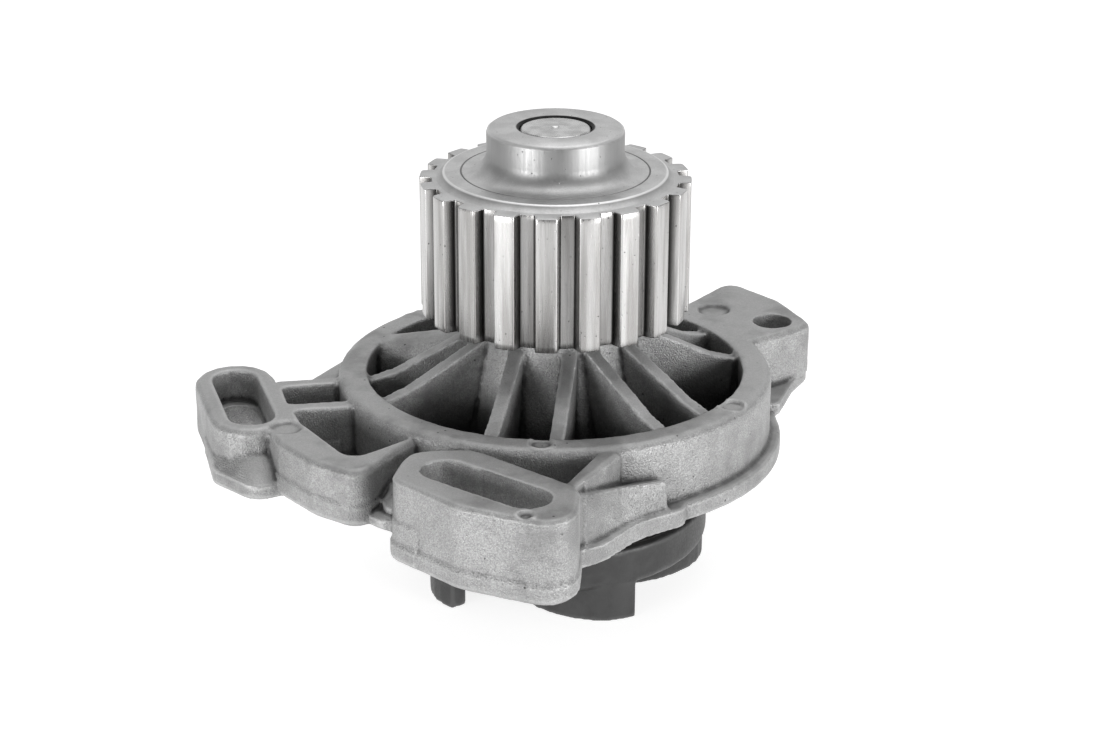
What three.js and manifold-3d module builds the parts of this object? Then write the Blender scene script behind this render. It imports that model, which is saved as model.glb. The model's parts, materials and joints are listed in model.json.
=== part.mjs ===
// Timing-belt water pump: a die-cast housing with three mounting ears, an integral shaft bearing,
// a face seal, a plastic impeller below the housing and a toothed belt sprocket above it.
// Millimetres, +Z up. The shaft axis is Z, and Z = 0 is the flange face that seals on the engine.
// +X points towards the single round bolt hole's side, the two slotted ears lie at -X and -Y.
import * as THREE from 'three';
import { mergeVertices } from 'three/addons/utils/BufferGeometryUtils.js';
import Module from 'manifold-3d';

const wasm = await Module();
wasm.setup();

// ---------- driving dimensions ----------
const LARGE = 54;                 // segments of the turned shapes of the housing
const MEDIUM = 36;                // segments of the boss, sprocket and impeller
const SMALL = 24;                 // segments of the turned pieces inside

const FLANGE_RADIUS = 51.4;
const FLANGE_TOP = 4.3;
const RIM_TOP = 19;
const RIM_OUTER = 48.9;
const RIM_INNER = 42.3;
const ARM_TOP = 17.5;             // left ear and the arm that carries it
const ARM_BOTTOM = 4.3;
const WEB_TOP = 7.8;              // low web between the arm and the front ear
const SPIGOT_RADIUS = 39.5;
const SPIGOT_DEPTH = 6.5;

const BOSS_TOP = 47.5;
const BOSS_RADIUS = 17.2;
const BOSS_STRAIGHT_FROM = 31;
const BOSS_FOOT_RADIUS = 22.5;
const RIB_THICKNESS = 3.4;

const SHAFT_RADIUS = 7.96;        // standard 15.918 mm integral pump shaft
const SHAFT_BOTTOM = -26;
const SHAFT_TOP = 74.6;
const BEARING_RADIUS = 15;
const BEARING_BOTTOM = 10.5;
const BEARING_TOP = 49.5;
const BEARING_BORE = 12.6;
const BALL_RADIUS = 2.778;
const BALL_PITCH = 10.6;
const BALL_ROW = 20.5;
const BALL_COUNT = 9;
const ROLLER_RADIUS = 2.75;
const ROLLER_PITCH = 10.85;
const ROLLER_ROW = 37.5;
const ROLLER_LENGTH = 10;
const ROLLER_COUNT = 9;

const SEAL_BORE = 18.2;           // standard 36.5 mm seat for a pump face seal
const SEAL_SEAT_TOP = 4;
const CHAMBER_RADIUS = 13.5;      // drain chamber between the seal and the bearing
const DRAIN_HEIGHT = 7.5;
const DRAIN_AZIMUTH = 157;

const TEETH = 20;
const BELT_PITCH = 9.525;         // 3/8 inch trapezoidal timing belt
const PITCH_TO_CROWN = 0.38;      // pitch line lies this far outside the tooth crowns
const CROWN_RADIUS = TEETH * BELT_PITCH / (2 * Math.PI) - PITCH_TO_CROWN;
const GROOVE_DEPTH = 2.67;
const GROOVE_BOTTOM_WIDTH = 3.05;
const GROOVE_TOP_WIDTH = 4.8;
const FIRST_TOOTH = -93.53;       // azimuth of one tooth's middle
const SPROCKET_BOTTOM = 33.3;
const SPROCKET_TOP = 63.45;
const WEB_FACE = 64.9;
const HUB_RADIUS = 15.2;
const HUB_TOP = 74.8;
const HUB_BOTTOM = 54;
const HOLLOW_RADIUS = 23;         // inside of the toothed ring, open towards the housing
const HOLLOW_TOP = 59.5;
const WEB_RADIUS = 26;

const IMPELLER_RADIUS = 35;
const SKIRT_TOP = -12.5;
const PLATE_TOP = -18.5;
const PLATE_BOTTOM = -22;
const VANE_BOTTOM = -29.5;
const VANES = 5;

const GAP = 0.1;                  // clearance between turned pieces that share an axis

// ---------- materials ----------
const paint = (color, roughness, metalness) =>
  new THREE.MeshStandardMaterial({ color, roughness, metalness });
const CAST_ALUMINIUM = paint(0xb9bbbe, 0.62, 0.75);
const SINTERED_STEEL = paint(0x9b9891, 0.38, 0.95);
const BEARING_STEEL = paint(0xa9abad, 0.22, 1.0);
const SEAL_METAL = paint(0xc3b27e, 0.35, 0.9);
const BLACK_RUBBER = paint(0x1c1c1d, 0.75, 0.0);
const CARBON = paint(0x2b2c2e, 0.5, 0.1);
const CERAMIC = paint(0xd9d6cc, 0.3, 0.0);
const CAGE_PLASTIC = paint(0xc9a55c, 0.55, 0.0);
const DARK_PLASTIC = paint(0x3a3b3d, 0.48, 0.0);

// ---------- solid-making helpers ----------
const radians = (degrees) => degrees * Math.PI / 180;
const atAzimuth = (radius, degrees) =>
  [radius * Math.cos(radians(degrees)), radius * Math.sin(radians(degrees))];

function solid(geometry) {
  const bare = geometry.index ? geometry.toNonIndexed() : geometry;
  bare.deleteAttribute('normal');
  bare.deleteAttribute('uv');
  const merged = mergeVertices(bare, 1e-4);
  return new wasm.Manifold(new wasm.Mesh({
    numProp: 3,
    vertProperties: merged.attributes.position.array,
    triVerts: new Uint32Array(merged.index.array),
  }));
}

function geometryOf(body) {
  const mesh = body.getMesh();
  const geometry = new THREE.BufferGeometry();
  geometry.setAttribute('position', new THREE.BufferAttribute(mesh.vertProperties, 3));
  geometry.setIndex(new THREE.BufferAttribute(mesh.triVerts, 1));
  return geometry;
}

const join = (...bodies) => bodies.flat().reduce((whole, body) => whole.add(body));
const cut = (body, ...tools) => tools.flat().reduce((rest, tool) => rest.subtract(tool), body);

// Turned body: [radius, height] corners, closed on themselves or ending on the axis.
function turned(profile, segments = SMALL) {
  const points = profile.map(([radius, height]) => new THREE.Vector2(radius, height));
  const onAxis = profile[0][0] === 0 && profile.at(-1)[0] === 0;
  if (!onAxis) points.push(points[0].clone());
  const signedArea = points.reduce((sum, p, i) => {
    const q = points[(i + 1) % points.length];
    return sum + p.x * q.y - q.x * p.y;
  }, 0);
  if (signedArea < 0) points.reverse();
  return new THREE.LatheGeometry(points, segments).rotateX(Math.PI / 2);
}
const turnedSolid = (profile, segments) => solid(turned(profile, segments));

// Circle-arc corners for a turned profile, from one angle to another about a centre.
function arc(centreRadius, centreHeight, radius, from, to, steps) {
  return Array.from({ length: steps + 1 }, (_, i) => {
    const angle = radians(from + (to - from) * i / steps);
    return [centreRadius + radius * Math.cos(angle), centreHeight + radius * Math.sin(angle)];
  });
}

// Flat outline from corners [x, y, fillet radius].
function rounded(corners, steps = 5) {
  const shape = new THREE.Shape();
  const count = corners.length;
  corners.forEach(([x, y, radius = 0], i) => {
    const corner = new THREE.Vector2(x, y);
    const before = new THREE.Vector2(...corners[(i + count - 1) % count].slice(0, 2)).sub(corner);
    const after = new THREE.Vector2(...corners[(i + 1) % count].slice(0, 2)).sub(corner);
    const half = Math.acos(before.clone().normalize().dot(after.clone().normalize())) / 2;
    const points = [];
    if (radius === 0) {
      points.push(corner);
    } else {
      const reach = radius / Math.tan(half);
      const start = corner.clone().addScaledVector(before.normalize(), reach);
      const end = corner.clone().addScaledVector(after.normalize(), reach);
      const middle = before.clone().add(after).normalize();
      const centre = corner.clone().addScaledVector(middle, radius / Math.sin(half));
      const first = start.clone().sub(centre).angle();
      let turn = end.clone().sub(centre).angle() - first;
      if (turn > Math.PI) turn -= 2 * Math.PI;
      if (turn < -Math.PI) turn += 2 * Math.PI;
      for (let k = 0; k <= steps; k += 1) {
        const angle = first + turn * k / steps;
        points.push(new THREE.Vector2(Math.cos(angle), Math.sin(angle))
          .multiplyScalar(radius).add(centre));
      }
    }
    points.forEach((p, k) => (i === 0 && k === 0 ? shape.moveTo(p.x, p.y) : shape.lineTo(p.x, p.y)));
  });
  return shape;
}

// Round-ended outline between two centres.
function slotOutline([x1, y1], [x2, y2], radius, steps = 8) {
  const heading = Math.atan2(y2 - y1, x2 - x1);
  const shape = new THREE.Shape();
  for (let k = 0; k <= steps; k += 1) {
    const angle = heading + Math.PI / 2 + Math.PI * k / steps;
    const move = k === 0 ? 'moveTo' : 'lineTo';
    shape[move](x1 + radius * Math.cos(angle), y1 + radius * Math.sin(angle));
  }
  for (let k = 0; k <= steps; k += 1) {
    const angle = heading - Math.PI / 2 + Math.PI * k / steps;
    shape.lineTo(x2 + radius * Math.cos(angle), y2 + radius * Math.sin(angle));
  }
  return shape;
}

function prism(shape, bottom, top, bevel = 0) {
  const geometry = new THREE.ExtrudeGeometry(shape, {
    depth: top - bottom - 2 * bevel,
    bevelEnabled: bevel > 0,
    bevelThickness: bevel,
    bevelSize: bevel,
    bevelOffset: -bevel,
    bevelSegments: 1,
    curveSegments: 1,
  });
  return geometry.translate(0, 0, bottom + bevel);
}
const prismSolid = (shape, bottom, top, bevel) => solid(prism(shape, bottom, top, bevel));

// Closed body through rings of the same number of points; each ring is a list of [x, y, z].
function lofted(rings) {
  const width = rings[0].length;
  const positions = [];
  const triangle = (a, b, c) => positions.push(...a, ...b, ...c);
  for (let k = 0; k + 1 < rings.length; k += 1) {
    for (let i = 0; i < width; i += 1) {
      const j = (i + 1) % width;
      triangle(rings[k][i], rings[k][j], rings[k + 1][j]);
      triangle(rings[k][i], rings[k + 1][j], rings[k + 1][i]);
    }
  }
  const last = rings.at(-1);
  for (let i = 1; i + 1 < width; i += 1) {
    triangle(rings[0][0], rings[0][i + 1], rings[0][i]);
    triangle(last[0], last[i], last[i + 1]);
  }
  const geometry = new THREE.BufferGeometry();
  geometry.setAttribute('position', new THREE.Float32BufferAttribute(positions, 3));
  return geometry;
}
const loftedSolid = (rings) => solid(lofted(rings));

const roundHole = (x, y, radius, bottom, top, segments = 24) =>
  solid(new THREE.CylinderGeometry(radius, radius, top - bottom, segments)
    .rotateX(Math.PI / 2).translate(x, y, (top + bottom) / 2));

// ---------- housing casting ----------
const PIVOT_HOLE = [51.3, 28.2];
const PIVOT_HOLE_RADIUS = 4.5;
const LEFT_SLOT = [[-71.8, -5.3], [-65.7, -26.5]];
const FRONT_SLOT = [[-22.5, -58.5], [-5.4, -72]];
const SLOT_RADIUS = 5;
const LEFT_SLOT_FOOT = [[-71.2, -7.4], [-65.7, -26.5]];
const CORE_STEP = 0.8;            // the lower half of the left slot is narrower by this much a side
const CORE_STEP_HEIGHT = 10;
const LEFT_EAR_RADIUS = 9;
const LOBE_TOP = 7.8;
const SHELF_TOP = 12.6;
const EDGE = 1.2;                 // rounding of the cast top edges

// Ribs from the rim to the bearing boss: azimuth at the rim, azimuth at the boss.
const RIBS = [
  [-172, -175], [-154, -152], [-109, -120], [-90, -77], [-56, -65],
  [-38, -30], [12, 2], [35, 15], [72, 84], [118, 108],
];

function rib([outerAzimuth, innerAzimuth]) {
  const [x1, y1] = atAzimuth(RIM_INNER + 2, outerAzimuth);
  const [x2, y2] = atAzimuth(BOSS_RADIUS - 1.5, innerAzimuth);
  const length = Math.hypot(x2 - x1, y2 - y1);
  const shape = new THREE.Shape();
  shape.moveTo(0, FLANGE_TOP - 1);
  shape.lineTo(length, FLANGE_TOP - 1);
  shape.lineTo(length, 30);
  shape.lineTo(length * 0.62, 24.4);
  shape.lineTo(length * 0.28, 19.4);
  shape.lineTo(length * 0.1, 17.8);
  shape.lineTo(0, 17.6);
  const wall = new THREE.ExtrudeGeometry(shape, { depth: RIB_THICKNESS, bevelEnabled: false });
  wall.translate(0, 0, -RIB_THICKNESS / 2).rotateX(Math.PI / 2);
  wall.rotateZ(Math.atan2(y2 - y1, x2 - x1)).translate(x1, y1, 0);
  return solid(wall);
}

// Round-backed casting over the drain passage, from the boss out to the rim.
function drainBoss() {
  const section = (radius, top) => {
    const across = (side, height) => {
      const [x, y] = atAzimuth(radius, DRAIN_AZIMUTH);
      const [dx, dy] = atAzimuth(side, DRAIN_AZIMUTH + 90);
      return [x + dx, y + dy, height];
    };
    const crown = arc(0, top - 6, 6, 0, 180, 8).map(([side, height]) => across(side, height));
    return [across(-6, FLANGE_TOP - 1), across(6, FLANGE_TOP - 1), ...crown];
  };
  return loftedSolid([section(BOSS_RADIUS - 2, 28), section(30, 22.5), section(45, RIM_TOP - 0.3)]);
}

// Thick ear with the round bolt hole, hollow under its outer edge above a thin foot.
function pivotEar() {
  const top = rounded([
    [26, 33], [42.6, 56.4, 4], [54.5, 42.5, 14], [61, 27, 4.5], [52.3, 19.4, 7], [44, 14], [26, 16],
  ]);
  const foot = rounded([
    [30, 38], [45, 54, 5], [60, 43, 6], [60, 29, 5], [56, 21, 6], [52, 8], [40, 4],
  ]);
  const reach = RIM_INNER + 0.3;
  const inside = turnedSolid([
    [0, FLANGE_TOP], [reach, FLANGE_TOP], [reach, RIM_TOP + 1], [0, RIM_TOP + 1],
  ], LARGE);
  return cut(join(prismSolid(top, ARM_BOTTOM + 1, RIM_TOP, EDGE), prismSolid(foot, 3.2, 6.4)), inside);
}

const FRONT_EAR = [
  [-34, -62.6, 5.5], [-31, -48.4, 6], [-17, -46.6, 9], [5.8, -66.4, 7],
  [4.6, -87.4, 7], [-19.5, -76.8, 16],
];
const frontEar = () => prismSolid(rounded(FRONT_EAR), 0, RIM_TOP, EDGE);

// Slotted ear; its front wall runs out over a sloping shelf into a low lobe.
function leftEar() {
  const ear = prismSolid(slotOutline(...LEFT_SLOT, LEFT_EAR_RADIUS), ARM_BOTTOM, ARM_TOP, EDGE);
  const lobe = [
    [-77.4, -17, 1], [-73.4, -34, 5], [-63.6, -43.4, 4.5], [-56.8, -39.4, 3], [-56, -22, 1],
  ];
  const wall = [
    [-76.6, -17, 1], [-72.6, -30.4, 5], [-65.2, -35.2, 4.5], [-58.8, -31.4, 3], [-57.5, -22, 1],
  ];
  const ring = (corners, height) => rounded(corners).getPoints().map(({ x, y }) => [x, y, height]);
  return join(ear, loftedSolid([ring(lobe, ARM_BOTTOM), ring(lobe, LOBE_TOP), ring(wall, SHELF_TOP)]));
}

// Arm from the round wall to the left ear, with its two open-topped pockets.
function leftArm() {
  const outline = rounded([
    [-63, -5.9], [-46, -3], [-38, -22], [-28.5, -37], [-40, -58.6, 4.5], [-50.6, -51, 5],
    [-58.6, -41, 4], [-66, -22],
  ]);
  const gusset = rounded([[-64, -7], [-58.5, -2, 3], [-46, 21], [-42, 15], [-44, -10]]);
  return join(
    prismSolid(outline, ARM_BOTTOM, ARM_TOP, EDGE),
    prismSolid(gusset, ARM_BOTTOM, 14, 0.6),
  );
}
function armPockets() {
  const narrow = rounded([[-60.8, -10.2, 1.5], [-46, -7.2], [-43, -17.4], [-58.4, -20, 1.5]]);
  const wide = rounded([
    [-57, -23.4, 1.5], [-43.5, -21.6], [-31, -38.5], [-42.6, -49.6, 3.5], [-54.8, -30, 2.5],
  ]);
  const depth = (shape) => prismSolid(shape, FLANGE_TOP + 1.5, RIM_TOP + 1);
  return [depth(narrow), depth(wide)];
}

// Low web between the arm and the front ear, with the mound in its corner.
function lowWeb() {
  const outline = rounded([[-50, -44], [-36.6, -57, 2], [-31.5, -60.5], [-24, -52], [-30, -36]]);
  const mound = rounded([[-35, -56, 3.5], [-30, -60], [-24, -48], [-30, -40], [-37, -46, 4]]);
  return join(prismSolid(outline, ARM_BOTTOM, WEB_TOP, 0.8), prismSolid(mound, ARM_BOTTOM, 11.5, 2));
}

// Flange foot and sloping gusset between the front ear and the round wall. Each section of the gusset
// goes from its base on the foot to the wall, up the wall, and out to its crest.
function rightGusset() {
  const foot = rounded([
    [3, -68], [10.6, -62.4, 8], [17.9, -52, 20], [29.4, -44.2, 4], [26, -38], [-8, -46],
  ]);
  const section = ([baseX, baseY], [wallX, wallY], [crestX, crestY, crest], dip) => [
    [baseX, baseY, FLANGE_TOP - 0.3], [wallX, wallY, FLANGE_TOP - 0.3],
    [wallX, wallY, crest - dip], [crestX, crestY, crest],
  ];
  const wedge = loftedSolid([
    section([5.2, -66], [-4, -58], [3.4, -67.4, 16.8], 3.3),
    section([14.8, -54.4], [5, -47], [13.6, -52.6, 12.5], 2.6),
    section([20, -49.4], [13, -41], [18.9, -48.6, 11.5], 2.2),
    section([24.5, -46.2], [19, -40], [23.5, -45.8, 11], 2.2),
  ]);
  const ridge = rounded([[0.5, -66.5], [3.2, -67.5], [14, -47.5], [10, -45]]);
  return join(prismSolid(foot, 0, FLANGE_TOP), wedge, prismSolid(ridge, FLANGE_TOP, 18.2, 0.8));
}

function housing() {
  const rim = turnedSolid([
    [RIM_INNER, 2], [RIM_OUTER + 0.4, 2], [RIM_OUTER, FLANGE_TOP + 1],
    ...arc(RIM_OUTER - 2, RIM_TOP - 2, 2, 0, 90, 3), [RIM_INNER + 0.6, RIM_TOP], [RIM_INNER, RIM_TOP - 0.6],
  ], LARGE);
  const flange = turnedSolid([
    [0, 0], [FLANGE_RADIUS - 0.5, 0], [FLANGE_RADIUS, 0.5], [FLANGE_RADIUS, FLANGE_TOP - 0.6],
    [FLANGE_RADIUS - 0.6, FLANGE_TOP], [0, FLANGE_TOP],
  ], LARGE);
  const boss = turnedSolid([
    [0, 1], [BOSS_FOOT_RADIUS + 2, 1], [BOSS_FOOT_RADIUS + 1.6, FLANGE_TOP], [BOSS_FOOT_RADIUS - 1, 7],
    [BOSS_RADIUS, BOSS_STRAIGHT_FROM], [BOSS_RADIUS, BOSS_TOP - 1], [BOSS_RADIUS - 1, BOSS_TOP],
    [0, BOSS_TOP],
  ], MEDIUM);
  const grooveTop = -1.8;
  const grooveBottom = -5;
  const grooveFloor = SPIGOT_RADIUS - 2;
  const spigot = turnedSolid([
    [0, 1], [SPIGOT_RADIUS, 1], [SPIGOT_RADIUS, grooveTop], [grooveFloor, grooveTop],
    [grooveFloor, grooveBottom], [SPIGOT_RADIUS, grooveBottom], [SPIGOT_RADIUS, -SPIGOT_DEPTH + 0.5],
    [SPIGOT_RADIUS - 0.5, -SPIGOT_DEPTH], [0, -SPIGOT_DEPTH],
  ], LARGE);
  const underside = turnedSolid([
    [24, -SPIGOT_DEPTH - 1], [33.5, -SPIGOT_DEPTH - 1], [33.5, -2.5], [31.5, -0.5], [26, -0.5], [24, -2.5],
  ], MEDIUM);
  const bore = turnedSolid([
    [0, -SPIGOT_DEPTH - 1], [SEAL_BORE, -SPIGOT_DEPTH - 1], [SEAL_BORE, SEAL_SEAT_TOP],
    [CHAMBER_RADIUS, SEAL_SEAT_TOP + 1], [CHAMBER_RADIUS, BEARING_BOTTOM],
    [BEARING_RADIUS + GAP, BEARING_BOTTOM],
    [BEARING_RADIUS + GAP, BOSS_TOP + 1], [0, BOSS_TOP + 1],
  ], MEDIUM);
  const [drainX, drainY] = atAzimuth(32, DRAIN_AZIMUTH);
  const drain = solid(new THREE.CylinderGeometry(2.5, 2.5, 42, 16)
    .rotateZ(Math.PI / 2).rotateZ(radians(DRAIN_AZIMUTH)).translate(drainX, drainY, DRAIN_HEIGHT));
  const pivotHole = roundHole(...PIVOT_HOLE, PIVOT_HOLE_RADIUS, -1, RIM_TOP + 1);
  const slots = [
    prismSolid(slotOutline(...FRONT_SLOT, SLOT_RADIUS), -1, RIM_TOP + 1),
    prismSolid(slotOutline(...LEFT_SLOT, SLOT_RADIUS), CORE_STEP_HEIGHT, RIM_TOP + 1),
    prismSolid(slotOutline(...LEFT_SLOT_FOOT, SLOT_RADIUS - CORE_STEP), -1, CORE_STEP_HEIGHT + 1),
  ];
  const ejectorMarks = [
    roundHole(37.9, 35.9, 4, RIM_TOP - 0.8, RIM_TOP + 1),
    roundHole(-57.6, -32.8, 3.7, ARM_TOP - 0.7, ARM_TOP + 1),
  ];
  const body = join(
    flange, rim, boss, spigot, RIBS.map(rib), drainBoss(), pivotEar(), frontEar(), leftEar(),
    cut(leftArm(), armPockets()), lowWeb(), rightGusset(),
  );
  return cut(body, underside, bore, drain, pivotHole, slots, ejectorMarks);
}

// ---------- bearing ----------
function outerRing() {
  const ballTrack = arc(BALL_PITCH, BALL_ROW, BALL_RADIUS + 0.15, -44, 44, 6);
  const rollerTrack = (ROLLER_PITCH + ROLLER_RADIUS + GAP) / Math.cos(Math.PI / SMALL);
  const rollerHalf = ROLLER_LENGTH / 2 + 0.3;
  const sealSeat = 13.3;
  return turned([
    [sealSeat, BEARING_BOTTOM], [BEARING_RADIUS, BEARING_BOTTOM], [BEARING_RADIUS, BEARING_TOP],
    [sealSeat, BEARING_TOP], [sealSeat, BEARING_TOP - 2.4], [BEARING_BORE, BEARING_TOP - 2.4],
    [BEARING_BORE, ROLLER_ROW + rollerHalf], [rollerTrack, ROLLER_ROW + rollerHalf],
    [rollerTrack, ROLLER_ROW - rollerHalf], [BEARING_BORE, ROLLER_ROW - rollerHalf],
    ...ballTrack.toReversed(), [BEARING_BORE, BEARING_BOTTOM + 2.4], [sealSeat, BEARING_BOTTOM + 2.4],
  ]);
}
function bearingSeal(bottom) {
  const lip = SHAFT_RADIUS + GAP;
  const outer = 13.2;
  const thickness = 1.4;
  return turned([
    [lip, bottom + 0.4], [lip + 1, bottom], [outer, bottom],
    [outer, bottom + thickness], [lip + 1, bottom + thickness], [lip, bottom + 1],
  ]);
}
function shaft() {
  const track = arc(BALL_PITCH, BALL_ROW, BALL_RADIUS + 0.15, 206, 154, 4);
  return turned([
    [0, SHAFT_BOTTOM], [SHAFT_RADIUS - 1, SHAFT_BOTTOM], [SHAFT_RADIUS, SHAFT_BOTTOM + 1], ...track,
    [SHAFT_RADIUS, SHAFT_TOP - 0.6], [SHAFT_RADIUS - 0.6, SHAFT_TOP], [1.2, SHAFT_TOP], [0, SHAFT_TOP - 0.7],
  ]);
}
function ballCage() {
  const [inner, outer] = [9.2, 12.2];
  const [bottom, top] = [BALL_ROW - 1.4, BALL_ROW + 4];
  const ring = turnedSolid([[inner, bottom], [outer, bottom], [outer, top], [inner, top]]);
  const pockets = Array.from({ length: BALL_COUNT }, (_, i) => {
    const azimuth = 360 * i / BALL_COUNT;
    const [x, y] = atAzimuth(BALL_PITCH, azimuth);
    return solid(new THREE.CylinderGeometry(3, 3, 6, 10)
      .rotateZ(Math.PI / 2).rotateZ(radians(azimuth)).translate(x, y, BALL_ROW));
  });
  return geometryOf(cut(ring, pockets));
}
function rollerCage() {
  const half = ROLLER_LENGTH / 2;
  const [inner, outer] = [9.6, 12.3];
  const [bottom, top] = [ROLLER_ROW - half - 1.4, ROLLER_ROW + half + 1.4];
  const ring = turnedSolid([[inner, bottom], [outer, bottom], [outer, top], [inner, top]]);
  const windows = Array.from({ length: ROLLER_COUNT }, (_, i) => {
    const [x, y] = atAzimuth(ROLLER_PITCH, 360 * i / ROLLER_COUNT);
    return roundHole(x, y, ROLLER_RADIUS + 0.2, ROLLER_ROW - half - 0.2, ROLLER_ROW + half + 0.2, 12);
  });
  return geometryOf(cut(ring, windows));
}

// ---------- face seal ----------
// The cup is pressed into the housing and carries the bellows, spring and carbon face, which stand
// still. The mating ring and its rubber seat turn with the impeller.
const CUP_WALL = 0.8;
const CUP_RIM = -SPIGOT_DEPTH - 0.3;
const CARBON_TOP = -7.6;
const FACE_HEIGHT = -11.45;       // the two seal faces meet here
const MATING_BOTTOM = -15.2;

function sealCup() {
  const outer = SEAL_BORE - GAP;
  const inner = outer - CUP_WALL;
  const roof = SEAL_SEAT_TOP - 0.4;
  return turned([
    [inner, CUP_RIM - CUP_WALL], [20.6, CUP_RIM - CUP_WALL], [20.6, CUP_RIM], [outer, CUP_RIM],
    [outer, roof], [9.6, roof], [9.6, roof - CUP_WALL], [inner, roof - CUP_WALL],
  ]);
}
function sealBellows() {
  const top = SEAL_SEAT_TOP - 0.4 - CUP_WALL - GAP;
  return turned([
    [9.4, top], [13, top], [13, top - 1.5], [11, top - 2.6], [12.6, top - 4.6], [11, top - 6.6],
    [11.6, CARBON_TOP + GAP], [9.4, CARBON_TOP + GAP], [9.4, top - 6.8], [10.6, top - 4.6], [9.4, top - 2.4],
  ]);
}
function sealSpring() {
  const coils = 4;
  const stepsPerCoil = 14;
  const radius = 15.2;
  const bottom = -7.2;
  const rise = 8.4;
  class Helix extends THREE.Curve {
    getPoint(t) {
      const angle = 2 * Math.PI * coils * t;
      return new THREE.Vector3(radius * Math.cos(angle), radius * Math.sin(angle), bottom + rise * t);
    }
  }
  const wire = new THREE.Shape(Array.from({ length: 5 }, (_, i) =>
    new THREE.Vector2(...atAzimuth(0.6, 72 * i))));
  return new THREE.ExtrudeGeometry(wire, {
    steps: coils * stepsPerCoil, bevelEnabled: false, extrudePath: new Helix(),
  });
}
const carbonRing = () => turned([
  [9.5, FACE_HEIGHT + GAP / 2], [11.8, FACE_HEIGHT + GAP / 2], [12.2, FACE_HEIGHT + 1.2],
  [14, FACE_HEIGHT + 1.2], [14, CARBON_TOP], [9.5, CARBON_TOP],
]);
const matingRing = () => turned([
  [9.2, MATING_BOTTOM], [14.4, MATING_BOTTOM], [14.4, FACE_HEIGHT - GAP / 2], [9.2, FACE_HEIGHT - GAP / 2],
]);
const matingSeat = () => turned([
  [SHAFT_RADIUS + GAP, MATING_BOTTOM - 1.3], [15.6, MATING_BOTTOM - 1.3], [15.6, MATING_BOTTOM + 2.4],
  [14.4 + GAP, MATING_BOTTOM + 2.4], [14.4 + GAP, MATING_BOTTOM - GAP], [9.2 - GAP, MATING_BOTTOM - GAP],
  [9.2 - GAP, MATING_BOTTOM + 1.6], [SHAFT_RADIUS + GAP, MATING_BOTTOM + 1.6],
]);
const slinger = () => turned([
  [SHAFT_RADIUS + GAP, 5.6], [9.6, 5.6], [12.4, 6.6], [12.4, 7.2], [9.6, 6.6], [9.6, 8.6],
  [SHAFT_RADIUS + GAP, 8.6],
]);
const flangeSeal = () => turned(arc(SPIGOT_RADIUS - 0.45, -3.4, 1.4, 0, 300, 5), MEDIUM);

// ---------- impeller ----------
const INSERT_RADIUS = 11;
const HUB_OUTER = 18.2;

// Vane centre line: [azimuth, radius], from the blunt outer tip inwards.
const VANE_LINE = [[-58, 32.9], [-68, 32.4], [-80, 29.6], [-95, 24.6], [-112, 19.2], [-127, 14.5]];
const VANE_HALF_THICKNESS = 2.1;

function vane(turn) {
  const line = new THREE.SplineCurve(VANE_LINE.map(([azimuth, radius]) =>
    new THREE.Vector2(...atAzimuth(radius, azimuth + turn))));
  const steps = 10;
  const side = (sign) => Array.from({ length: steps + 1 }, (_, i) => {
    const along = line.getTangent(i / steps);
    const across = new THREE.Vector2(-along.y, along.x).multiplyScalar(sign * VANE_HALF_THICKNESS);
    return line.getPoint(i / steps).add(across);
  });
  return prismSolid(new THREE.Shape([...side(1), ...side(-1).reverse()]), VANE_BOTTOM, PLATE_BOTTOM + 1);
}
function impeller() {
  const skirtInner = IMPELLER_RADIUS - 2.6;
  const disc = turnedSolid([
    [INSERT_RADIUS + GAP, -26.5], [14, -26.5], [15.5, PLATE_BOTTOM],
    ...arc(IMPELLER_RADIUS - 3, PLATE_BOTTOM + 3, 3, -90, 0, 4),
    [IMPELLER_RADIUS, SKIRT_TOP], [skirtInner, SKIRT_TOP], [skirtInner, PLATE_TOP + 1],
    [skirtInner - 1, PLATE_TOP],
    [HUB_OUTER, PLATE_TOP], [HUB_OUTER, -13.4], [15.6 + GAP, -13.4], [15.6 + GAP, MATING_BOTTOM - 1.4],
    [INSERT_RADIUS + GAP, MATING_BOTTOM - 1.4],
  ], MEDIUM);
  const trim = turnedSolid([
    [IMPELLER_RADIUS - 0.2, VANE_BOTTOM - 1], [IMPELLER_RADIUS + 6, VANE_BOTTOM - 1],
    [IMPELLER_RADIUS + 6, SKIRT_TOP], [IMPELLER_RADIUS - 0.2, SKIRT_TOP],
  ], MEDIUM);
  const vanes = Array.from({ length: VANES }, (_, i) => vane(360 * i / VANES));
  return geometryOf(join(disc, cut(join(vanes), trim)));
}
const impellerInsert = () => turned([
  [SHAFT_RADIUS + GAP, -26.4], [INSERT_RADIUS, -26.4], [INSERT_RADIUS, -22], [INSERT_RADIUS - 1, -21.6],
  [INSERT_RADIUS - 1, -20.4], [INSERT_RADIUS, -20], [INSERT_RADIUS, MATING_BOTTOM - 1.6],
  [SHAFT_RADIUS + GAP, MATING_BOTTOM - 1.6],
]);

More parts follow.
